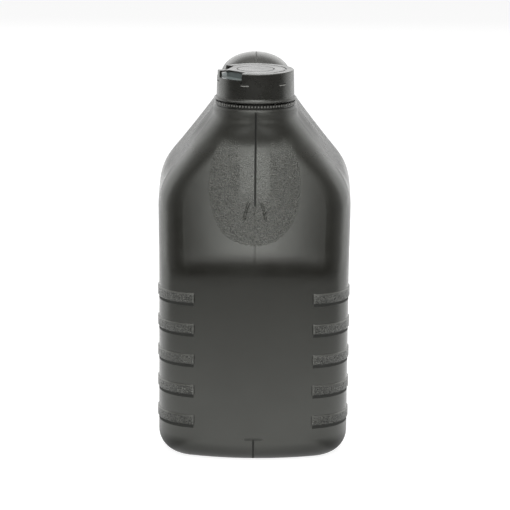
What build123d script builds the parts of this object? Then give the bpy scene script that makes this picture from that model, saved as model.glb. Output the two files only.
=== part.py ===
from build123d import *
import math
import os

# Overall sizes in millimetres. Y runs front to back, X across, Z up from the base.
LENGTH = 220.0
BODY_HALF_WIDTH = 63.1
SHOULDER_HALF_WIDTH = 63.7
SIDE_BOW = 2.8
FRONT_Y = -LENGTH / 2
NECK_BACK = 56.0
NECK_Y = FRONT_Y + NECK_BACK
NECK_AXIS = Location((0, NECK_Y, 0))
WALL = 1.8
MARGIN = 10.0
OVERCUT = 1.0

# Body: a straight foot, the sloped front above it, and the platform under the neck.
FOOT_TOP_Z = 122.0
WAIST_Z = 170.0
PLATFORM_Z = 236.0
CORNER_R = 28.0
CORNER_SHARE = 0.95
FITTING_STEPS = 8
SIDE_SPANS = 5
BASE_EDGE_R = 16.0
FRONT_PLAN_R = 150.0
SLOPE_PLAN_R = 126.0
PLAN_CHANGE_Z = (129.0, 143.0)
PLAN_SOFTNESS = 4.0
CREASE_Z = 136.0
CREASE_SOFTNESS = 9.0
COLUMN_R = 27.6
SLOPE_END_Z = 224.0
SLOPE_SOFTNESS = 13.0
SLOPE = (NECK_BACK - COLUMN_R) / (SLOPE_END_Z - CREASE_Z)
LOWER_HEIGHTS = [FOOT_TOP_Z, 124, 127, 131, 135, 140, 146, 153, 161, 167, WAIST_Z]
UPPER_HEIGHTS = [WAIST_Z, 173, 178, 184, 191, 198, 205, 212, 219, 225, 229, 232, 234.5, PLATFORM_Z]

# Shoulders: the half-width falls from the body to the neck column on a straight flank.
SWELL_START_Z = 140.0
SWELL_END_Z = 168.0
SWELL_SOFTNESS = 12.0
FLANK_SLOPE = 0.75
FLANK_START_Z = 187.3
FLANK_SOFTNESS = 12.5
COLUMN_SOFTNESS = 6.0
NECK_DROP = 3.75
REAR_FALL = math.tan(math.radians(12.0))
HUMP_Y = NECK_Y + 60.0
HUMP_SOFTNESS = 15.0
RIDGE_HALF_WIDTH = 24.2

# Back edge of the body, an upright wall that rounds over to the platform under the handle.
BACK_ROUND_Z = 172.0
BACK_ROUND_Y = 40.0
BACK_ROUND_TOP_Z = 244.0

# Handle: an oval bar that climbs behind the neck, runs back and bends down into the back wall.
HANDLE_HALF_WIDTH = 24.8
HANDLE_CROWN = 17.0
HANDLE_DEPTH = 42.0
HANDLE_BACK_Y = LENGTH / 2 - 0.4
HANDLE_TOP = (NECK_Y + 66.0, 266.4)
HANDLE_FOOT = (NECK_Y + 16.0, 216.0)
HANDLE_CORNER_Z = HANDLE_TOP[1] - (HANDLE_BACK_Y - HANDLE_TOP[0]) * REAR_FALL
HANDLE_END_Z = 150.0
HANDLE_BENDS = [46.0, 46.0]

# Finger hole: a slanted slot through X that flares towards both sides.
HOLE_FRONT = (NECK_Y + 74.0, 216.0)
HOLE_BACK = (NECK_Y + 118.0, 207.5)
HOLE_RADIUS = 16.5
HOLE_FLARE = [(0.0, 0.0), (15.0, 1.2), (30.0, 5.0), (46.0, 10.0), (60.0, 14.5), (72.0, 18.0)]

# Grip pads at the four corners.
PAD_COUNT = 5
PAD_FIRST_Z = 25.6
PAD_PITCH = 21.25
PAD_HEIGHT = 7.2
PAD_PROUD = 0.8
PAD_LIP = 0.15
PAD_EDGE = 0.9
PAD_INNER_X = 40.0
PAD_REACH = 38.0

# Underside and side panels.
PUSH_UP = 3.0
PUSH_UP_INSET = 20.0
PANEL_DEPTH = 0.8
PANEL_HALF_LENGTH = 62.0
PANEL_BOTTOM_Z = 24.0
PANEL_TOP_Z = 114.0
PANEL_CORNER_R = 12.0
PANEL_REACH = 8.0

# Neck finish.
COLUMN_TOP_Z = 238.2
NECK_TOP_Z = 255.0
NECK_R = 21.6
BORE_R = 19.5
BORE_DEPTH = 6.0
BEAD_R = 23.5
BEAD_Z = 241.6
BEAD_HEIGHT = 1.2

# Screw cap: an outer shell snapped over a threaded inner cap, with a liner inside.
CAP_TOP_Z = 262.2
CAP_TOP_WALL = 1.0
RIM_EDGE = 0.5
CAP_TOP_R = 26.0
CAP_SKIRT_R = 26.4
COLLAR_R = 28.0
COLLAR_START_Z = CAP_TOP_Z - 16.4
COLLAR_BEND = (0.45, 1.7)
COLLAR_EDGE_Z = CAP_TOP_Z - 19.0
COLLAR_LIP = (0.6, 0.4)
SHELL_BOTTOM_Z = CAP_TOP_Z - 20.0
INNER_CAP_R = 24.4
INNER_CAP_BORE_R = 23.1
INNER_CAP_BOTTOM_Z = 243.4
INNER_CAP_WALL = 1.6
LINER_THICKNESS = 1.0
LINER_R = 21.6
HEX_FLAT = 17.2
HEX_WALL = 1.6
NOTCH_CHORD = 17.5
NOTCH_FLOOR_Z = CAP_TOP_Z - 4.6
NOTCH_FIRST = -45.15
NOTCH_SPAN = 47.1
NOTCH_COUNT = 2
HEX_PITCH = -60.0
GROOVE_WIDTH = 0.7
GROOVE_DEPTH = 0.6
SLIT_Z = CAP_TOP_Z - 7.3
SLIT_HEIGHT = 0.6
SLIT_SPAN = 13.0
SLIT_FIRST = -16.0
SLIT_COUNT = 6
RING_GROOVES = [(20.6, 1.0), (12.6, 0.8)]
RING_DEPTH = 0.5

# Tamper band left on the neck under the cap.
BAND_BOTTOM_Z = COLUMN_TOP_Z
BAND_TOP_Z = 241.3
BAND_R = 26.5
BAND_INNER_R = 25.2
BAND_FLANGE_R = 22.1
BAND_FLANGE_Z = 239.4
BAND_FLANGE_HEIGHT = 1.0
TOOTH_COUNT = 80
TOOTH_PROUD = 0.7
TOOTH_WIDTH = 1.1
TOOTH_HEIGHT = 2.0


def soft_ramp(distance, reach):
    """Zero before the corner, a straight ramp after it, a parabola within reach of it."""
    if distance <= -reach:
        return 0.0
    if distance >= reach:
        return distance
    return (distance + reach) ** 2 / (4 * reach)


def climb(z, start, end, start_softness, end_softness):
    """Height gained between start and end, with both corners rounded."""
    return soft_ramp(z - start, start_softness) - soft_ramp(z - end, end_softness)


def profile(z, column):
    """Half-width of the front view: body, shoulder flank, then the upright column."""
    swell = (SHOULDER_HALF_WIDTH - BODY_HALF_WIDTH) / (SWELL_END_Z - SWELL_START_Z)
    width = BODY_HALF_WIDTH + swell * climb(z, SWELL_START_Z, SWELL_END_Z, SWELL_SOFTNESS, SWELL_SOFTNESS)
    end_z = FLANK_START_Z + (SHOULDER_HALF_WIDTH - column) / FLANK_SLOPE
    return width - FLANK_SLOPE * climb(z, FLANK_START_Z, end_z, FLANK_SOFTNESS, COLUMN_SOFTNESS)


def side_x(y, z):
    """Half-width at any place: the shoulders rise to the handle, then fall to the back."""
    ahead = max(HUMP_Y - max(y, NECK_Y), 0) / (HUMP_Y - NECK_Y)
    if z > PLATFORM_Z - NECK_DROP:
        ahead *= max(PLATFORM_Z - z, 0) / NECK_DROP
    fall = REAR_FALL * soft_ramp(y - HUMP_Y, HUMP_SOFTNESS)
    narrowing = min(max(y - NECK_Y, 0) / COLUMN_R, 1)
    column = COLUMN_R - (COLUMN_R - RIDGE_HALF_WIDTH) * narrowing ** 2
    bow = SIDE_BOW * (1 - (2 * y / LENGTH) ** 2) / (SHOULDER_HALF_WIDTH - column)
    return column + (profile(z + NECK_DROP * ahead ** 2 + fall, column) - column) * (1 + bow)


def front_y(z):
    """Front edge: upright face, crease, straight slope, then the neck column."""
    return FRONT_Y + SLOPE * climb(z, CREASE_Z, SLOPE_END_Z, CREASE_SOFTNESS, SLOPE_SOFTNESS)


def back_y(z):
    """Back edge: upright wall, then part of an ellipse up to the platform."""
    if z <= BACK_ROUND_Z:
        return LENGTH / 2
    rise = (z - BACK_ROUND_Z) / (BACK_ROUND_TOP_Z - BACK_ROUND_Z)
    return BACK_ROUND_Y + (LENGTH / 2 - BACK_ROUND_Y) * math.sqrt(1 - rise ** 2)


def front_plan_radius(z):
    """The slope is rounder across the bottle than the face below the crease."""
    start, end = PLAN_CHANGE_Z
    change = (FRONT_PLAN_R - SLOPE_PLAN_R) / (end - start)
    return FRONT_PLAN_R - change * climb(z, start, end, PLAN_SOFTNESS, PLAN_SOFTNESS)


def rounded_end(z, tip, way, inset, plan_radius):
    """Corner of one bowed end: where the side stops, its direction, and the corner's arc."""
    y = tip - way * CORNER_R
    for guess in range(FITTING_STEPS):
        width = side_x(y, z) - inset
        lean = (side_x(y + way, z) - side_x(y - way, z)) / 2
        along = Vector(lean, way).normalized()
        inward = Vector(-abs(along.Y), along.X * way)
        radius = min(CORNER_R - inset, CORNER_SHARE * width)
        centre = Vector(width, y) + inward * radius
        reach = math.sqrt((plan_radius - radius) ** 2 - centre.X ** 2)
        y += tip - (centre.Y + way * (plan_radius - reach))
    side_end = centre - inward * radius
    out = Vector(centre.X, way * reach).normalized()
    joint = centre + out * radius
    middle = centre + (out - inward).normalized() * radius
    return side_end, along, ThreePointArc(side_end, middle, joint), joint


def outline(z, front, back, inset, plan_radius):
    """Closed section at height z, symmetric about the middle plane."""
    front_end, front_way, front_corner, front_joint = rounded_end(z, front, -1, inset, plan_radius)
    back_end, back_way, back_corner, back_joint = rounded_end(z, back, 1, inset, FRONT_PLAN_R)
    shares = [count / SIDE_SPANS for count in range(SIDE_SPANS + 1)]
    places = [front_end.Y + (back_end.Y - front_end.Y) * share for share in shares[1:-1]]
    side_points = [Vector(side_x(y, z) - inset, y) for y in places]
    side_ways = [front_way * -1, back_way]
    side = Edge.make_spline([front_end, *side_points, back_end], side_ways, parameters=shares)
    front_bow = ThreePointArc(front_joint, (0, front), (-front_joint.X, front_joint.Y))
    back_bow = ThreePointArc(back_joint, (0, back), (-back_joint.X, back_joint.Y))
    right = [front_corner, side, back_corner]
    left = [edge.mirror(Plane.YZ) for edge in right]
    return Face(Wire([front_bow] + right + [back_bow] + left))


def body_section(z, inset=0.0, lower=0.0):
    """Section of the bottle between the base and the platform."""
    face = outline(z, front_y(z) + inset, back_y(z) - inset, inset, front_plan_radius(z))
    return Location((0, 0, z - lower)) * face


def loaf(inset=0.0):
    """Body of the bottle up to the platform, or with an inset the space inside its wall."""
    foot = extrude(body_section(FOOT_TOP_Z, inset, FOOT_TOP_Z - inset), FOOT_TOP_Z - inset, dir=(0, 0, 1))
    span = PLATFORM_Z - FOOT_TOP_Z
    lower = loft([body_section(z, inset, inset * (z - FOOT_TOP_Z) / span) for z in LOWER_HEIGHTS])
    upper = loft([body_section(z, inset, inset * (z - FOOT_TOP_Z) / span) for z in UPPER_HEIGHTS])
    whole = foot + lower
    whole = fillet(whole.edges().group_by(Axis.Z)[0], BASE_EDGE_R - inset)
    return whole + upper


def handle(inset=0.0):
    """Bar of the handle, swept along its top line, or with an inset the space inside it."""
    ends = [HANDLE_FOOT, HANDLE_TOP, (HANDLE_BACK_Y, HANDLE_CORNER_Z), (HANDLE_BACK_Y, HANDLE_END_Z)]
    path = FilletPolyline(*[(0, y, z) for y, z in ends], radius=HANDLE_BENDS)
    width = HANDLE_HALF_WIDTH - inset
    low = inset - HANDLE_DEPTH
    crown = EllipticalCenterArc((0, -HANDLE_CROWN), width, HANDLE_CROWN - inset, arc_size=180)
    sides = Polyline((-width, -HANDLE_CROWN), (-width, low), (width, low), (width, -HANDLE_CROWN))
    start = Plane(path @ 0, x_dir=(-1, 0, 0), z_dir=path % 0)
    return sweep(start * Face(Wire([crown, *sides.edges()])), path)


def hole_tool(grow=0.0):
    """Flared slot through the bottle under the handle."""
    span = math.dist(HOLE_FRONT, HOLE_BACK)
    tilt = math.degrees(math.atan2(HOLE_BACK[1] - HOLE_FRONT[1], HOLE_BACK[0] - HOLE_FRONT[0]))
    middle = ((HOLE_FRONT[0] + HOLE_BACK[0]) / 2, (HOLE_FRONT[1] + HOLE_BACK[1]) / 2)
    slots = []
    for x, flare in [(-x, flare) for x, flare in reversed(HOLE_FLARE[1:])] + HOLE_FLARE:
        place = Plane((x, 0, 0), x_dir=(0, 1, 0), z_dir=(1, 0, 0))
        slot = SlotCenterToCenter(span, 2 * (HOLE_RADIUS + flare + grow), rotation=tilt)
        slots.append(place * Location((*middle, 0)) * slot)
    return loft(slots)


def corner_blocks():
    """Four blocks that keep the grip pads to the corners of the bottle."""
    width = SHOULDER_HALF_WIDTH + MARGIN - PAD_INNER_X
    depth = PAD_REACH + MARGIN
    middle_x = PAD_INNER_X + width / 2
    middle_y = LENGTH / 2 + MARGIN - depth / 2
    block = Location((0, 0, FOOT_TOP_Z / 2)) * Box(width, depth, FOOT_TOP_Z + MARGIN)
    return [Location((x, y, 0)) * block for x in (-middle_x, middle_x) for y in (-middle_y, middle_y)]


def grip_pads():
    """Raised pads with sloped edges, wrapped round the four corners."""
    pads = []
    edges = [(0.0, PAD_LIP), (PAD_EDGE, PAD_PROUD)]
    edges += [(PAD_HEIGHT - up, proud) for up, proud in reversed(edges)]
    for level in range(PAD_COUNT):
        drop = FOOT_TOP_Z - PAD_FIRST_Z - level * PAD_PITCH
        band = loft([body_section(FOOT_TOP_Z, -proud, drop - up) for up, proud in edges], ruled=True)
        pads += [band & block for block in corner_blocks()]
    return pads


def side_panels():
    """Shallow recesses for a label, which follow the bow of the two broad sides."""
    levels = (0, FOOT_TOP_Z)
    floor = loft([body_section(FOOT_TOP_Z, PANEL_DEPTH, FOOT_TOP_Z - z) for z in levels], ruled=True)
    height = PANEL_TOP_Z - PANEL_BOTTOM_Z
    tools = []
    for way in (-1, 1):
        start = (way * (BODY_HALF_WIDTH - PANEL_REACH), 0, (PANEL_TOP_Z + PANEL_BOTTOM_Z) / 2)
        frame = RectangleRounded(2 * PANEL_HALF_LENGTH, height, PANEL_CORNER_R)
        block = extrude(Plane(start, x_dir=(0, way, 0), z_dir=(way, 0, 0)) * frame, 2 * PANEL_REACH)
        tools.append(block - floor)
    return tools


def push_up(grow=0.0):
    """Hollow of the underside, which leaves a standing rim."""
    bottom = body_section(FOOT_TOP_Z, PUSH_UP_INSET - grow, FOOT_TOP_Z)
    top = body_section(FOOT_TOP_Z, PUSH_UP_INSET + PUSH_UP - grow, FOOT_TOP_Z - PUSH_UP - grow)
    return loft([bottom, top], ruled=True)


def upright(radius, bottom, top):
    """Cylinder about the neck's axis between two heights."""
    place = Location((0, NECK_Y, bottom))
    return place * Cylinder(radius, top - bottom, align=(Align.CENTER, Align.CENTER, Align.MIN))


def make_bottle():
    """Blow-moulded bottle with its handle, hollow throughout, and its neck."""
    outside = loaf() + [handle()] + grip_pads()
    outside -= side_panels() + [push_up(), hole_tool()]
    outside += upright(COLUMN_R, PLATFORM_Z, COLUMN_TOP_Z)
    inside = loaf(WALL) + handle(WALL) - [push_up(WALL), hole_tool(WALL)]
    bottle = outside - inside
    bottle += upright(NECK_R, PLATFORM_Z, NECK_TOP_Z)
    bottle += upright(BEAD_R, BEAD_Z, BEAD_Z + BEAD_HEIGHT)
    return bottle - upright(BORE_R, PLATFORM_Z - BORE_DEPTH, NECK_TOP_Z + OVERCUT)


def towards(angle, radius, height=0.0):
    """Point around the neck: angle 0 faces the front, positive turns towards +X."""
    turn = math.radians(angle)
    return Vector(radius * math.sin(turn), NECK_Y - radius * math.cos(turn), height)


def wedge(start, end, inner, bottom, top):
    """Block between two angles, outside a chord at the inner distance from the axis."""
    middle = (start + end) / 2
    chord = inner / math.cos(math.radians((end - start) / 2))
    far = COLLAR_R + MARGIN
    ring = [(start, chord), (start, far), (middle, far), (end, far), (end, chord)]
    corners = [towards(angle, radius) for angle, radius in ring]
    return Location((0, 0, bottom)) * extrude(Face(Wire.make_polygon(corners)), top - bottom, dir=(0, 0, 1))


def make_cap_shell():
    """Outer shell of the screw cap with its flared collar, rim notches and slits."""
    inner_top = CAP_TOP_Z - CAP_TOP_WALL
    top = [(0, CAP_TOP_Z), (CAP_TOP_R - RIM_EDGE, CAP_TOP_Z), (CAP_TOP_R, CAP_TOP_Z - RIM_EDGE)]
    bend = [(CAP_SKIRT_R, COLLAR_START_Z), (CAP_SKIRT_R + COLLAR_BEND[0], COLLAR_START_Z - COLLAR_BEND[1]),
            (COLLAR_R, COLLAR_EDGE_Z)]
    lip = [(COLLAR_R, SHELL_BOTTOM_Z + COLLAR_LIP[1]), (COLLAR_R - COLLAR_LIP[0], SHELL_BOTTOM_Z)]
    inside = [(INNER_CAP_R, SHELL_BOTTOM_Z), (INNER_CAP_R, inner_top), (0, inner_top)]
    skirt = Polyline(top + bend[:1])
    rest = Polyline(bend[-1:] + lip + inside + top[:1])
    outline_edges = skirt.edges() + [ThreePointArc(*bend)] + rest.edges()
    shell = NECK_AXIS * revolve(Plane.XZ * Face(Wire(outline_edges)), Axis.Z)
    for radius, width in RING_GROOVES:
        groove = upright(radius + width / 2, CAP_TOP_Z - RING_DEPTH, CAP_TOP_Z + OVERCUT)
        shell -= groove - upright(radius - width / 2, CAP_TOP_Z - RING_DEPTH, CAP_TOP_Z + OVERCUT)
    for count in range(NOTCH_COUNT):
        middle = NOTCH_FIRST + count * HEX_PITCH
        start, end = middle - NOTCH_SPAN / 2, middle + NOTCH_SPAN / 2
        shell -= wedge(start, end, NOTCH_CHORD, NOTCH_FLOOR_Z, CAP_TOP_Z + OVERCUT)
        half = math.degrees(GROOVE_WIDTH / 2 / CAP_TOP_R)
        shell -= wedge(end - half, end + half, CAP_TOP_R - GROOVE_DEPTH, SLIT_Z, CAP_TOP_Z + OVERCUT)
    for count in range(SLIT_COUNT):
        middle = SLIT_FIRST + count * HEX_PITCH
        shell -= wedge(middle - SLIT_SPAN / 2, middle + SLIT_SPAN / 2, CAP_TOP_R - GROOVE_DEPTH,
                       SLIT_Z - SLIT_HEIGHT / 2, SLIT_Z + SLIT_HEIGHT / 2)
    return shell


def hexagon(flat, bottom, top):
    """Six-sided prism about the neck's axis, with a flat behind each rim notch."""
    corner = flat / math.cos(math.radians(30))
    corners = [towards(NOTCH_FIRST + HEX_PITCH * (count + 0.5), corner) for count in range(6)]
    return Location((0, 0, bottom)) * extrude(Face(Wire.make_polygon(corners)), top - bottom, dir=(0, 0, 1))


def make_inner_cap():
    """Threaded inner cap: a cup over the neck with a six-sided ring on its top."""
    disc_top = NOTCH_FLOOR_Z
    cup = upright(INNER_CAP_R, INNER_CAP_BOTTOM_Z, disc_top)
    cup -= upright(INNER_CAP_BORE_R, INNER_CAP_BOTTOM_Z - OVERCUT, disc_top - INNER_CAP_WALL)
    ring_top = CAP_TOP_Z - CAP_TOP_WALL
    return cup + (hexagon(HEX_FLAT, disc_top, ring_top) - hexagon(HEX_FLAT - HEX_WALL, disc_top, ring_top))


def make_liner():
    """Sealing disc between the inner cap and the lip of the neck."""
    return upright(LINER_R, NECK_TOP_Z, NECK_TOP_Z + LINER_THICKNESS)


def make_tamper_band():
    """Toothed band that stays on the neck, held under the neck's bead."""
    band = upright(BAND_R, BAND_BOTTOM_Z, BAND_TOP_Z) - upright(BAND_INNER_R, BAND_BOTTOM_Z, BAND_TOP_Z)
    flange_top = BAND_FLANGE_Z + BAND_FLANGE_HEIGHT
    flange = upright(BAND_INNER_R, BAND_FLANGE_Z, flange_top)
    band += flange - upright(BAND_FLANGE_R, BAND_FLANGE_Z, flange_top)
    teeth = []
    for count in range(TOOTH_COUNT):
        angle = count * 360 / TOOTH_COUNT
        place = Location(towards(angle, BAND_R, BAND_TOP_Z - TOOTH_HEIGHT / 2), (0, 0, angle))
        teeth.append(place * Box(TOOTH_WIDTH, 2 * TOOTH_PROUD, TOOTH_HEIGHT))
    return band + teeth


if __name__ == "__main__":
    os.makedirs("parts", exist_ok=True)
    export_step(make_bottle(), "parts/bottle.step")
    export_step(make_tamper_band(), "parts/tamper_band.step")
    export_step(make_cap_shell(), "parts/cap_shell.step")
    export_step(make_inner_cap(), "parts/inner_cap.step")
    export_step(make_liner(), "parts/cap_liner.step")
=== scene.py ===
import math

import bmesh
import bpy
from mathutils import Euler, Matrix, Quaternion, Vector


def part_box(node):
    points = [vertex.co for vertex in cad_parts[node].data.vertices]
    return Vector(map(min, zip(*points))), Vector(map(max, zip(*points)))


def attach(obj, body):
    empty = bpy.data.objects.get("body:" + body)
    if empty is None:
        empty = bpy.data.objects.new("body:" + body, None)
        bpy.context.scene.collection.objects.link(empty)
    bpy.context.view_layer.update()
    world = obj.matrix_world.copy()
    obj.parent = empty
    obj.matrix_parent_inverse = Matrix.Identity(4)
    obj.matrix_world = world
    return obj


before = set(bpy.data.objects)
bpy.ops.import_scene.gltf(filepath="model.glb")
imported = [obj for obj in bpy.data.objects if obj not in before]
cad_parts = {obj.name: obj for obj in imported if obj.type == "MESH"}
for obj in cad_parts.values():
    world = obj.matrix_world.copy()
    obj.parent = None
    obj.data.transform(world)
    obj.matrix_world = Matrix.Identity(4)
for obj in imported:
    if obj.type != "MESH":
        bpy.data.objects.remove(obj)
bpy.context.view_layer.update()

# The neck's axis, which stands on the mid-plane, and heights of the cap, from the frame in metres.
NECK_X = 0.0
NECK_Y = (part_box("cap_liner")[0].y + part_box("cap_liner")[1].y) / 2
CAP_TOP_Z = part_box("cap_shell")[1].z
CAP_BOTTOM_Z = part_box("cap_shell")[0].z
BAND_TOP_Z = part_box("tamper_band")[1].z

# Camera: the photograph is taken with a long lens from 1.6 m, a little from above and tilted.
CAMERA_DISTANCE = 1.6117
CAMERA_X = 0.0006
CAMERA_Z = 0.502
CAMERA_PITCH = math.radians(12.9)
CAMERA_TILT = math.radians(0.48)
FOCAL_LENGTH = 169.4
SENSOR_WIDTH = 36

# Floor: its glow in reflections fades in front of the bottle, and darkens close to its foot.
FLOOR_REACH = 3.0
FLOOR_COLOUR = 0.35
FLOOR_WHITE = 0.90
FLOOR_FADE = (0.05, 0.62)
FLOOR_FRONT_Y = (-0.12, 0.04)
FOOT_HALF_SIZE = (0.056, 0.100)
FOOT_SHADE = (0.002, 0.030)
FOOT_SHADE_LEVEL = 0.45
SIDE_SHADE_X = (0.050, 0.064)
SIDE_SHADE_REACH = 0.07
SIDE_SHADE_LOSS = 0.85

# Room: dark in front of the bottle and white behind it, over a soft edge in the view direction's y.
ROOM_LIGHT = 0.06
ROOM_WHITE = 0.62
ROOM_EDGE = (-0.60, 0.35)

# Lamps: place, the point each is aimed at, width, height and brightness.
NECK_TARGET = (0, NECK_Y, 0.18)
TOP_LAMP = ((0, -0.25, 1.25), (0, -0.25, 0), 1.1, 1.5, 2.2)
STRIP_LAMP = ((0, -1.25, 1.55), NECK_TARGET, 0.9, 0.6, 4.2)
SIDE_LAMP = ((1.25, 0.85, 0.45), (0, 0, 0.12), 1.4, 1.1, 1.0)
BACK_LAMP = ((0, 1.9, 0.9), (0, 0, 0.15), 2.0, 1.2, 1.0)

# Bank: lamps on an arc in front of the neck, dimmer towards its ends.
BANK_COUNT = 11
BANK_STEP = math.radians(12)
BANK_SPREAD = math.radians(27)
BANK_R = 1.85
BANK_Z = 1.14
BANK_HEIGHT = 0.70
BANK_LIGHT = 4.0

# Colours, each plastic's as a mean colour and the two tones that it wanders between.
BOTTLE_COLOUR = (0.0188, 0.0181, 0.0151)
BOTTLE_TONES = ((0.0160, 0.0154, 0.0128), (0.0215, 0.0208, 0.0174))
CAP_COLOUR = (0.0170, 0.0164, 0.0141)
CAP_TONES = ((0.0150, 0.0144, 0.0124), (0.0190, 0.0183, 0.0158))
# The inner cap's light blue-grey is a painted reflection of the lamps, as seen through the cap's notches.
INNER_CAP_REFLECTION_COLOUR = (0.125, 0.145, 0.142)
INNER_CAP_REFLECTION_TONES = ((0.108, 0.127, 0.125), (0.140, 0.160, 0.156))
LINER_COLOUR = (0.72, 0.72, 0.69)
LINER_TONES = ((0.68, 0.68, 0.65), (0.76, 0.76, 0.73))
PATCH_COLOUR = (0.034, 0.034, 0.029)
# The next two are a painted highlight on raised grains and painted shade in the pits between them.
GRAIN_HIGHLIGHT = (0.095, 0.095, 0.084)
GRAIN_SHADE = (0.003, 0.003, 0.002)
# A painted highlight on the rim round each grip pad.
PAD_HIGHLIGHT_COLOUR = (0.095, 0.095, 0.087)
# Dark of the parting line, and painted shade in the line under each grip pad.
SEAM_AND_SHADE_COLOUR = (0.002, 0.002, 0.0015)
DUST_COLOUR = (0.30, 0.29, 0.27)
# A painted highlight on the cap's slits and on the tips of the tamper band's teeth.
SLIT_AND_TOOTH_HIGHLIGHT_COLOUR = (0.34, 0.34, 0.32)
GLOSS_TINT = (0.975, 1.0, 0.945, 1.0)

# Zones of the bottle, each with a soft edge: its front, and its rear with rounder edges.
FRONT_Y = (-0.030, -0.040)
REAR_Y = (-0.005, 0.010)
REAR_ROUNDING = (0.0003, 0.0030)

# Top end of the front's slope: rounder and duller under the neck, and shaded like a steeper wall.
COLUMN_Z = (0.224, 0.229)
COLUMN_EDGE = 0.026
COLUMN_ROUNDING = 0.006
COLUMN_DULLNESS = 0.14
THROAT_Z = (0.213, 0.241)
THROAT_DEPTH = 0.0042

# Surface of the bottle: the scale of each noise and the height of what it raises, and the share of
# the cells that hold a speck of dust.
FINE_GRAIN_SCALE = 2600
FINE_GRAIN_HEIGHT = 0.00004
WAVE_SCALE = 38
WAVE_STRETCH = (1, 1, 0.35)
WAVE_HEIGHT = 0.0002
PEBBLE_SCALE = 1050
PEBBLE_HEIGHT = 0.0013
MOTTLE_SCALE = 1400
MOTTLE_HEIGHT = 0.0005
TONE_SCALE = 16
GLOSS_SCALE = 60
DUST_SCALE = 95
DUST_SHARE = 0.07

# Grip pads: a column at each corner. From the foot of its dark line of painted shade, a pad's line
# reaches up to PAD_LINE and the pad itself to PAD_TOP.
PAD_Z = 0.0236
PAD_PITCH = 0.02125
PAD_COUNT = 5
PAD_LINE = 0.0022
PAD_TOP = 0.0092
PAD_X = 0.040
PAD_Y = 0.0726
PAD_EDGE = 0.0003

# Grained patch on the front's slope: a rounded oval that fades out at its top. Its edge and the
# wobble of its outline are shares of its half sizes.
PATCH_Z = 0.189
PATCH_HALF_WIDTH = 0.0305
PATCH_HALF_HEIGHT = 0.038
PATCH_POWER = 2.4
PATCH_EDGE = (1.04, 0.94)
PATCH_WOBBLE_SCALE = 55
PATCH_WOBBLE = 0.15
PATCH_TOP_Z = (0.228, 0.200)
STRIP_HALF_WIDTH = (0.0095, 0.0110)
STRIP_END_Z = (0.188, 0.172)
STRIP_GRAIN = 0.4

# Parting line, the two folds at its lower end, and the T mark at the bottle's foot.
CREASE_Z = 0.136
SEAM_X = 0.0004
SEAM_Z = (0.177, 0.236)
FOOT_SEAM_Z = (0.0, 0.017)
TEE_Z = (0.0168, 0.0178)
TEE_HALF_WIDTH = (0.0070, 0.0045)
FOLD_HEIGHT = 0.012
FOLD_START = 0.0028
FOLD_SPREAD = 0.0045
LINE_HEIGHT = 0.0006

# Slits round the cap's side, each with a thin painted highlight on its lower lip.
SLIT_START = math.radians(-22.5)
SLIT_STEP = math.radians(60)
SLIT_SHARE = (0.02, 0.20)
SLIT_Z = CAP_TOP_Z - 0.0083
SLIT_HEIGHT = 0.0003

# Thread between the neck and the inner cap. The cap's runs half a pitch above the neck's, and an
# eighth of the length at each end runs out into the wall.
THREAD_PITCH = 0.005
THREAD_TURNS = 1.5
THREAD_STEPS = 72
THREAD_DEPTH = 0.0011
THREAD_ROOT = 0.0017
THREAD_CREST = 0.0008
THREAD_SINK = 0.0002
THREAD_RUN_OUT = 1 / 8
NECK_R = 0.0216
INNER_CAP_BORE_R = 0.0231
NECK_THREAD_Z = 0.2446
CAP_THREAD_Z = NECK_THREAD_Z + THREAD_PITCH / 2 + 0.0002

# Break-away bridges between the tamper band and the cap's collar, narrower at their top.
BRIDGE_COUNT = 6
BRIDGE_R = 0.0262
BRIDGE_WIDTH = 0.0011
BRIDGE_DEPTH = 0.0007
BRIDGE_SINK = 0.0004
BRIDGE_GAP = 0.00005
BRIDGE_TAPER = 0.6


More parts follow.
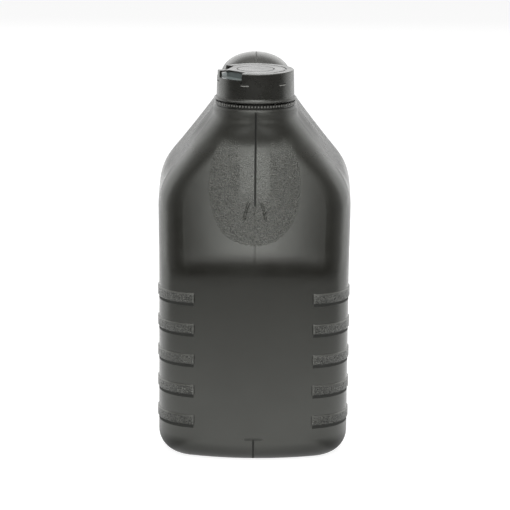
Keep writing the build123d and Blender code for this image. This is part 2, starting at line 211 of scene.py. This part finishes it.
class Material:
    """A procedural material on one Principled shader, with short helpers for its nodes."""

    def __init__(self, name, colour, roughness, **settings):
        self.material = bpy.data.materials.new(name)
        self.material.use_nodes = True
        self.nodes = self.material.node_tree.nodes
        self.links = self.material.node_tree.links
        self.shader = self.nodes["Principled BSDF"]
        self.shader.inputs["Base Color"].default_value = (*colour, 1)
        self.shader.inputs["Roughness"].default_value = roughness
        for name, value in settings.items():
            self.shader.inputs[name.replace("_", " ")].default_value = value
        self.place = self.nodes.new("ShaderNodeTexCoord").outputs["Object"]
        split = self.nodes.new("ShaderNodeSeparateXYZ")
        self.links.new(self.place, split.inputs[0])
        self.x, self.y, self.z = split.outputs
        self.normal = None

    def feed(self, socket, value):
        """Sets a socket to a number or a colour, or links it to another node's output."""
        if isinstance(value, tuple):
            socket.default_value = (*value, 1)
        elif isinstance(value, (int, float)):
            socket.default_value = value
        else:
            self.links.new(value, socket)

    def math(self, kind, *values):
        """One arithmetic node. The usual ones have short names of their own below."""
        node = self.nodes.new("ShaderNodeMath")
        node.operation = kind
        for socket, value in zip(node.inputs, values):
            self.feed(socket, value)
        return node.outputs[0]

    def times(self, first, *others):
        for other in others:
            first = self.math("MULTIPLY", first, other)
        return first

    def plus(self, first, *others):
        for other in others:
            first = self.math("ADD", first, other)
        return first

    def most(self, first, *others):
        for other in others:
            first = self.math("MAXIMUM", first, other)
        return first

    def minus(self, first, second):
        return self.math("SUBTRACT", first, second)

    def over(self, first, second):
        return self.math("DIVIDE", first, second)

    def size(self, value):
        return self.math("ABSOLUTE", value)

    def fade(self, value, start, end, low=0.0, high=1.0):
        """Goes smoothly from low to high as value goes from start to end."""
        node = self.nodes.new("ShaderNodeMapRange")
        node.interpolation_type = "SMOOTHSTEP"
        for socket, number in zip(node.inputs, (value, start, end, low, high)):
            self.feed(socket, number)
        return node.outputs[0]

    def band(self, value, low, high, edge):
        """One between low and high, and zero past a soft edge on either side."""
        return self.times(self.fade(value, low - edge, low), self.fade(value, high, high + edge, 1.0, 0.0))

    def texture(self, kind, stretch, **values):
        node = self.nodes.new(kind)
        place = self.place
        if stretch is not None:
            mapping = self.nodes.new("ShaderNodeMapping")
            mapping.inputs["Scale"].default_value = stretch
            self.links.new(place, mapping.inputs["Vector"])
            place = mapping.outputs[0]
        self.links.new(place, node.inputs["Vector"])
        for name, value in values.items():
            node.inputs[name].default_value = value
        return node

    def noise(self, scale, detail=3.0, roughness=0.5, stretch=None):
        node = self.texture("ShaderNodeTexNoise", stretch, Scale=scale, Detail=detail, Roughness=roughness)
        return node.outputs["Fac"]

    def grain(self, scale, detail, roughness):
        """Noise that swings round zero."""
        return self.minus(self.noise(scale, detail, roughness), 0.5)

    def cells(self, scale, feature="F1", output="Distance"):
        node = self.texture("ShaderNodeTexVoronoi", None, Scale=scale)
        node.feature = feature
        return node.outputs[output]

    def mix(self, share, first, second):
        node = self.nodes.new("ShaderNodeMix")
        node.data_type = "RGBA"
        for place, value in ((0, share), (6, first), (7, second)):
            self.feed(node.inputs[place], value)
        return node.outputs[2]

    def tone(self, noise, tones, end=0.75):
        """A colour that wanders softly between a dark and a light tone."""
        return self.mix(self.fade(noise, 0.3, end), *tones)

    def turn_surface(self, normal):
        self.normal = normal
        self.links.new(normal, self.shader.inputs["Normal"])

    def bump(self, height, distance):
        """Adds a height on top of the bumps so far; distance is its height in metres."""
        node = self.nodes.new("ShaderNodeBump")
        self.feed(node.inputs["Height"], height)
        self.feed(node.inputs["Strength"], 1.0)
        self.feed(node.inputs["Distance"], distance)
        if self.normal is not None:
            self.links.new(self.normal, node.inputs["Normal"])
        self.turn_surface(node.outputs["Normal"])

    def round_edges(self, radius):
        """Softens sharp edges of the surface to a small radius."""
        node = self.nodes.new("ShaderNodeBevel")
        node.samples = 6
        self.feed(node.inputs["Radius"], radius)
        self.turn_surface(node.outputs["Normal"])

    def finish(self, colour, roughness=None):
        """Gives the shader its colour, and its roughness where that isn't even."""
        self.feed(self.shader.inputs["Base Color"], colour)
        if roughness is not None:
            self.feed(self.shader.inputs["Roughness"], roughness)
        return self.material


def pad_masks(m):
    """The grained inside of the grip pads, a dark line of painted shade under each and a light rim of
    painted highlight round it.
    """
    side = m.size(m.x)
    rows = m.band(m.z, PAD_Z, PAD_Z + (PAD_COUNT - 0.5) * PAD_PITCH, 0.0004)
    corners = m.times(m.fade(side, PAD_X, PAD_X + 0.0004), m.fade(m.size(m.y), PAD_Y, PAD_Y + 0.001), rows)
    level = m.times(m.math("FRACT", m.over(m.minus(m.z, PAD_Z), PAD_PITCH)), PAD_PITCH)
    inside = m.band(level, PAD_LINE + 0.0005, PAD_TOP - 0.0012, PAD_EDGE)
    # The line at the foot of each pad is painted shade.
    pad_shade = m.band(level, 0.0003, PAD_LINE, PAD_EDGE)
    # The bands at each pad's top and inner end are a painted highlight.
    top = m.band(level, PAD_TOP - 0.0009, PAD_TOP - 0.0002, PAD_EDGE)
    end = m.band(side, PAD_X + 0.0004, PAD_X + 0.0012, PAD_EDGE)
    end = m.times(end, m.band(level, PAD_LINE, PAD_TOP, PAD_EDGE))
    return [m.times(corners, mask) for mask in (inside, pad_shade, m.most(top, end))]


def patch_mask(m, ahead):
    """The front's grained patch, with a wavy outline and a smoother strip down its upper middle."""
    side = m.size(m.x)
    across = m.math("POWER", m.over(side, PATCH_HALF_WIDTH), PATCH_POWER)
    along = m.math("POWER", m.size(m.over(m.minus(m.z, PATCH_Z), PATCH_HALF_HEIGHT)), PATCH_POWER)
    reach = m.plus(across, along, m.times(m.grain(PATCH_WOBBLE_SCALE, 2.0, 0.5), PATCH_WOBBLE))
    oval = m.times(m.fade(reach, *PATCH_EDGE), ahead, m.fade(m.z, *PATCH_TOP_Z))
    strip = m.most(m.fade(side, *STRIP_HALF_WIDTH), m.fade(m.z, *STRIP_END_Z))
    return m.times(oval, m.plus(m.times(strip, 1 - STRIP_GRAIN), STRIP_GRAIN))


def fold_mask(m, middle):
    """Two small folds that spread downwards from the lower end of the parting line."""
    drop = m.over(m.minus(SEAM_Z[0] + 0.002, m.z), FOLD_HEIGHT)
    spread = m.plus(m.times(m.math("SQRT", m.most(drop, 0.0)), FOLD_SPREAD), FOLD_START)
    swing = m.size(m.minus(middle, spread))
    return m.times(m.fade(swing, 0.0011, 0.0002), m.band(drop, 0.1, 0.9, 0.12))


def raise_parting_line(m, middle, ahead):
    """Raises the parting line, and returns the mask of all that is dark along it."""
    line = m.band(m.z, *SEAM_Z, 0.0015)
    foot = m.band(m.z, *FOOT_SEAM_Z, 0.001)
    faint = m.times(m.band(m.z, CREASE_Z + 0.006, SEAM_Z[0], 0.003), 0.2)
    m.bump(m.times(m.fade(middle, 0.0007, 0.0001), ahead, m.most(line, faint, foot)), LINE_HEIGHT)
    dark = m.times(m.fade(middle, 0.0010, 0.0003), m.most(line, foot))
    tee = m.times(m.band(m.z, *TEE_Z, 0.0007), m.fade(middle, *TEE_HALF_WIDTH), 0.6)
    crest = m.times(m.fade(m.y, 0.000, 0.005), m.fade(middle, 0.0008, 0.0003), 0.35)
    return m.most(m.times(m.most(dark, tee), ahead), crest)


def dust_mask(m):
    """A few pale specks, each in a cell of its own."""
    chosen = m.math("GREATER_THAN", m.cells(DUST_SCALE, output="Color"), 1 - DUST_SHARE)
    return m.times(m.fade(m.cells(DUST_SCALE), 0.035, 0.02), chosen)


def bottle_plastic():
    """Anthracite polyethylene with moulded grain, pads, patch, parting line and dust, and painted
    highlights and shade.
    """
    m = Material("bottle_plastic", BOTTLE_COLOUR, 0.25, Specular_IOR_Level=0.75,
                 IOR=1.52, Specular_Tint=GLOSS_TINT)
    ahead = m.fade(m.y, *FRONT_Y)
    middle = m.size(m.minus(m.x, SEAM_X))
    column = m.times(m.band(m.z, *COLUMN_Z, COLUMN_EDGE), ahead)
    m.round_edges(m.most(m.fade(m.y, *REAR_Y, *REAR_ROUNDING), m.times(column, COLUMN_ROUNDING)))
    m.bump(m.times(m.fade(m.z, *THROAT_Z), ahead), THROAT_DEPTH)
    m.bump(m.noise(FINE_GRAIN_SCALE, 2.0), FINE_GRAIN_HEIGHT)
    m.bump(m.noise(WAVE_SCALE, 2.0, 0.4, WAVE_STRETCH), WAVE_HEIGHT)

    inside, pad_shade, pad_highlight = pad_masks(m)
    pebbles = m.times(m.grain(PEBBLE_SCALE, 1.0, 0.4), inside)
    m.bump(pebbles, PEBBLE_HEIGHT)
    patch = patch_mask(m, ahead)
    mottle = m.times(m.grain(MOTTLE_SCALE, 1.0, 0.5), patch)
    m.bump(mottle, MOTTLE_HEIGHT)
    m.bump(m.times(fold_mask(m, middle), ahead), LINE_HEIGHT)
    # The dark marks join the parting line and the painted shade under the pads.
    seam_and_shade_marks = m.most(raise_parting_line(m, middle, ahead), pad_shade)

    # Painted highlights on the raised grains and painted shade in their pits.
    grain_highlights = m.fade(m.most(mottle, pebbles), 0.01, 0.10, 0.0, 0.7)
    grain_shade = m.fade(m.math("MINIMUM", mottle, pebbles), -0.02, -0.10, 0.0, 0.9)
    colour = m.tone(m.noise(TONE_SCALE, 4.0, 0.6), BOTTLE_TONES)
    colour = m.mix(m.times(patch, 0.35), colour, PATCH_COLOUR)
    colour = m.mix(grain_highlights, colour, GRAIN_HIGHLIGHT)
    colour = m.mix(grain_shade, colour, GRAIN_SHADE)
    # Painted highlight on the pads' rims, then the dark of the parting line and painted shade under the
    # pads.
    colour = m.mix(m.times(pad_highlight, 0.8), colour, PAD_HIGHLIGHT_COLOUR)
    colour = m.mix(seam_and_shade_marks, colour, SEAM_AND_SHADE_COLOUR)
    colour = m.mix(m.times(dust_mask(m), 0.8), colour, DUST_COLOUR)
    roughness = m.fade(m.noise(GLOSS_SCALE, 4.0, 0.65), 0.3, 0.7, 0.20, 0.26)
    roughness = m.plus(roughness, m.times(column, COLUMN_DULLNESS), m.times(seam_and_shade_marks, 0.60))
    return m.finish(colour, roughness)


def cap_plastic():
    """Anthracite polypropylene of the cap's shell and the tamper band, with painted highlights on slits and
    teeth.
    """
    m = Material("cap_plastic", CAP_COLOUR, 0.28, Specular_IOR_Level=0.7,
                 IOR=1.5, Specular_Tint=GLOSS_TINT)
    m.round_edges(0.0003)
    m.bump(m.noise(1500, 3.0), 0.00005)
    ahead = m.minus(NECK_Y, m.y)
    radius = m.math("SQRT", m.plus(m.times(m.x, m.x), m.times(ahead, ahead)))
    turn = m.math("FRACT", m.over(m.minus(m.math("ARCTAN2", m.x, ahead), SLIT_START), SLIT_STEP))
    # Painted highlights: a thin light line on each slit's lower lip, and on the tips of the band's teeth.
    slit_highlights = m.times(m.band(m.z, SLIT_Z, SLIT_Z + SLIT_HEIGHT, 0.0002), m.band(turn, *SLIT_SHARE, 0.02),
                    m.fade(radius, 0.0255, 0.0258))
    tooth_highlights = m.times(m.band(m.z, BAND_TOP_Z - 0.0014, BAND_TOP_Z - 0.0006, 0.0003),
                   m.fade(radius, 0.0267, 0.0269), 0.5)
    colour = m.tone(m.noise(40, 4.0, 0.6), CAP_TONES)
    colour = m.mix(m.most(slit_highlights, tooth_highlights), colour, SLIT_AND_TOOTH_HIGHLIGHT_COLOUR)
    return m.finish(colour, m.fade(m.noise(120, 4.0, 0.65), 0.3, 0.7, 0.23, 0.32))


def inner_cap_plastic():
    """Polypropylene of the threaded inner cap, in a light blue-grey that is a painted reflection seen in
    the cap's notches.
    """
    m = Material("inner_cap_plastic", INNER_CAP_REFLECTION_COLOUR, 0.60, Specular_IOR_Level=0.3)
    m.bump(m.noise(900, 3.0), 0.00008)
    return m.finish(m.tone(m.noise(70, 3.0), INNER_CAP_REFLECTION_TONES, 0.7))


def liner_foam():
    """White foamed sealing disc."""
    m = Material("liner_foam", LINER_COLOUR, 0.6)
    m.bump(m.cells(1800, "SMOOTH_F1"), 0.00008)
    return m.finish(m.tone(m.noise(200, 3.0), LINER_TONES, 0.7))


def dress(node, material):
    """Gives a node of the frame its one material."""
    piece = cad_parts[node]
    piece.data.materials.clear()
    piece.data.materials.append(material)


def link(name, data):
    """Puts a new object with its data into the scene."""
    thing = bpy.data.objects.new(name, data)
    bpy.context.collection.objects.link(thing)
    return thing


def add_camera():
    camera = link("camera", bpy.data.cameras.new("camera"))
    camera.data.lens = FOCAL_LENGTH
    camera.data.sensor_width = SENSOR_WIDTH
    camera.data.clip_end = 20
    camera.location = (CAMERA_X, NECK_Y - CAMERA_DISTANCE, CAMERA_Z)
    level = Euler((math.pi / 2 - CAMERA_PITCH, 0, 0)).to_quaternion()
    camera.rotation_euler = (level @ Quaternion((0, 0, 1), CAMERA_TILT)).to_euler()
    bpy.context.scene.camera = camera


def add_floor():
    """A white floor that falls off in brightness away from the bottle, and keeps its shadow."""
    mesh = bpy.data.meshes.new("floor")
    corners = [(FLOOR_REACH * x, FLOOR_REACH * y, 0) for x, y in ((-1, -1), (1, -1), (1, 1), (-1, 1))]
    mesh.from_pydata(corners, [], [(0, 1, 2, 3)])
    floor = link("floor", mesh)
    m = Material("floor", (FLOOR_COLOUR,) * 3, 0.9, Specular_IOR_Level=0.0)
    past = [m.most(m.minus(m.size(place), half), 0.0) for place, half in zip((m.x, m.y), FOOT_HALF_SIZE)]
    away = m.math("SQRT", m.plus(*[m.times(distance, distance) for distance in past]))
    lit = m.most(m.fade(away, *FLOOR_FADE, 1.0, 0.0), m.fade(m.y, *FLOOR_FRONT_Y))
    foot = m.fade(away, *FOOT_SHADE, FOOT_SHADE_LEVEL, 1.0)
    beside = m.fade(m.size(m.x), *SIDE_SHADE_X)
    loss = m.times(beside, m.fade(away, 0.0, SIDE_SHADE_REACH, SIDE_SHADE_LOSS, 0.0))
    path = m.nodes.new("ShaderNodeLightPath").outputs
    mirrored = m.most(path["Is Glossy Ray"], path["Is Transmission Ray"])
    mirrored = m.times(mirrored, lit, foot, m.minus(1.0, loss))
    seen = m.times(path["Is Camera Ray"], FLOOR_WHITE)
    m.feed(m.shader.inputs["Emission Strength"], m.most(mirrored, seen))
    m.feed(m.shader.inputs["Emission Color"], (1, 1, 1))
    floor.data.materials.append(m.material)


def add_world():
    """White behind the bottle, also in its reflections, and a dark room in front of it."""
    world = bpy.data.worlds.new("studio")
    bpy.context.scene.world = world
    world.use_nodes = True
    nodes, links = world.node_tree.nodes, world.node_tree.links
    room = nodes["Background"]
    white = nodes.new("ShaderNodeBackground")
    backdrop = nodes.new("ShaderNodeBackground")
    for background in (room, white, backdrop):
        background.inputs["Color"].default_value = (1, 1, 1, 1)
    room.inputs["Strength"].default_value = ROOM_LIGHT

    split = nodes.new("ShaderNodeSeparateXYZ")
    links.new(nodes.new("ShaderNodeTexCoord").outputs["Generated"], split.inputs[0])
    behind = nodes.new("ShaderNodeMapRange")
    behind.interpolation_type = "SMOOTHSTEP"
    for place, number in enumerate((*ROOM_EDGE, ROOM_LIGHT, ROOM_WHITE), 1):
        behind.inputs[place].default_value = number
    links.new(split.outputs["Y"], behind.inputs[0])
    links.new(behind.outputs[0], white.inputs["Strength"])

    path = nodes.new("ShaderNodeLightPath").outputs
    mirrored = nodes.new("ShaderNodeMath")
    mirrored.operation = "MAXIMUM"
    links.new(path["Is Glossy Ray"], mirrored.inputs[0])
    links.new(path["Is Transmission Ray"], mirrored.inputs[1])
    shown = room.outputs[0]
    for share, other in ((mirrored.outputs[0], white), (path["Is Camera Ray"], backdrop)):
        mix = nodes.new("ShaderNodeMixShader")
        links.new(share, mix.inputs[0])
        links.new(shown, mix.inputs[1])
        links.new(other.outputs[0], mix.inputs[2])
        shown = mix.outputs[0]
    links.new(shown, nodes["World Output"].inputs["Surface"])


def add_area_light(name, place, target, width, height, radiance):
    """A rectangular lamp of an even brightness, aimed at a point."""
    lamp = bpy.data.lights.new(name, "AREA")
    lamp.shape = "RECTANGLE"
    lamp.size, lamp.size_y = width, height
    lamp.energy = radiance * math.pi * width * height
    light = link(name, lamp)
    light.location = place
    light.rotation_euler = (Vector(target) - Vector(place)).to_track_quat("-Z", "Y").to_euler()


def add_lights():
    """A box overhead, a curved bank and a strip above it in front, and white panels behind."""
    add_area_light("top", *TOP_LAMP)
    for count in range(BANK_COUNT):
        turn = (count - (BANK_COUNT - 1) / 2) * BANK_STEP
        place = (BANK_R * math.sin(turn), NECK_Y - BANK_R * math.cos(turn), BANK_Z)
        radiance = BANK_LIGHT * math.exp(-(turn / BANK_SPREAD) ** 2 / 2)
        add_area_light("bank", place, NECK_TARGET, BANK_R * BANK_STEP, BANK_HEIGHT, radiance)
    add_area_light("strip", *STRIP_LAMP)
    (x, y, z), *rest = SIDE_LAMP
    for side in (-1, 1):
        add_area_light("side", (side * x, y, z), *rest)
    add_area_light("back", *BACK_LAMP)


def new_piece(name, shape, material, body):
    """Turns a finished shape into a smooth piece that rides on a body."""
    bmesh.ops.recalc_face_normals(shape, faces=shape.faces)
    mesh = bpy.data.meshes.new(name)
    shape.to_mesh(mesh)
    shape.free()
    for face in mesh.polygons:
        face.use_smooth = True
    piece = link(name, mesh)
    piece.data.materials.append(material)
    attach(piece, body)


def join_rings(shape, first, second):
    """Walls between two rings of four corners."""
    for place in range(4):
        after = (place + 1) % 4
        shape.faces.new((first[place], first[after], second[after], second[place]))


def thread(name, radius, outward, start_z, material, body):
    """A trapezoid thread on a round wall, with its ends run out into the wall."""
    shape = bmesh.new()
    steps = int(THREAD_TURNS * THREAD_STEPS)
    wall = radius - outward * THREAD_SINK
    rings = []
    for step in range(steps + 1):
        share = step / steps
        height = min(1.0, share / THREAD_RUN_OUT, (1 - share) / THREAD_RUN_OUT)
        crest = radius + outward * THREAD_DEPTH * height
        turn = 2 * math.pi * THREAD_TURNS * share
        middle = start_z + THREAD_PITCH * THREAD_TURNS * share
        section = [(wall, -THREAD_ROOT / 2), (crest, -THREAD_CREST / 2)]
        section += [(crest, THREAD_CREST / 2), (wall, THREAD_ROOT / 2)]
        ring = []
        for distance, rise in section:
            x = NECK_X + distance * math.sin(turn)
            y = NECK_Y - distance * math.cos(turn)
            ring.append(shape.verts.new((x, y, middle + rise)))
        rings.append(ring)
    for first, second in zip(rings, rings[1:]):
        join_rings(shape, first, second)
    shape.faces.new(rings[0])
    shape.faces.new(rings[-1][::-1])
    new_piece(name, shape, material, body)


def bridges(material):
    """Small break-away posts on the top edge of the tamper band."""
    shape = bmesh.new()
    for count in range(BRIDGE_COUNT):
        turn = 2 * math.pi * (count + 0.5) / BRIDGE_COUNT
        outward = Vector((math.sin(turn), -math.cos(turn), 0))
        across = Vector((outward.y, -outward.x, 0))
        rings = []
        for z, share in ((BAND_TOP_Z - BRIDGE_SINK, 1.0), (CAP_BOTTOM_Z - BRIDGE_GAP, BRIDGE_TAPER)):
            centre = Vector((NECK_X, NECK_Y, z)) + outward * BRIDGE_R
            wide = across * share * BRIDGE_WIDTH / 2
            deep = outward * share * BRIDGE_DEPTH / 2
            spots = (centre - wide - deep, centre + wide - deep, centre + wide + deep, centre - wide + deep)
            rings.append([shape.verts.new(spot) for spot in spots])
            shape.faces.new(rings[-1])
        join_rings(shape, *rings)
    new_piece("bridges", shape, material, "jug")


add_camera()
add_world()
add_floor()
add_lights()

bottle_material = bottle_plastic()
cap_material = cap_plastic()
inner_reflection_material = inner_cap_plastic()
dress("bottle", bottle_material)
dress("tamper_band", cap_material)
dress("cap_shell", cap_material)
dress("inner_cap", inner_reflection_material)
dress("cap_liner", liner_foam())
thread("neck_thread", NECK_R, 1, NECK_THREAD_Z, bottle_material, "jug")
thread("cap_thread", INNER_CAP_BORE_R, -1, CAP_THREAD_Z, inner_reflection_material, "cap")
bridges(cap_material)

bpy.context.scene.view_settings.view_transform = "Standard"
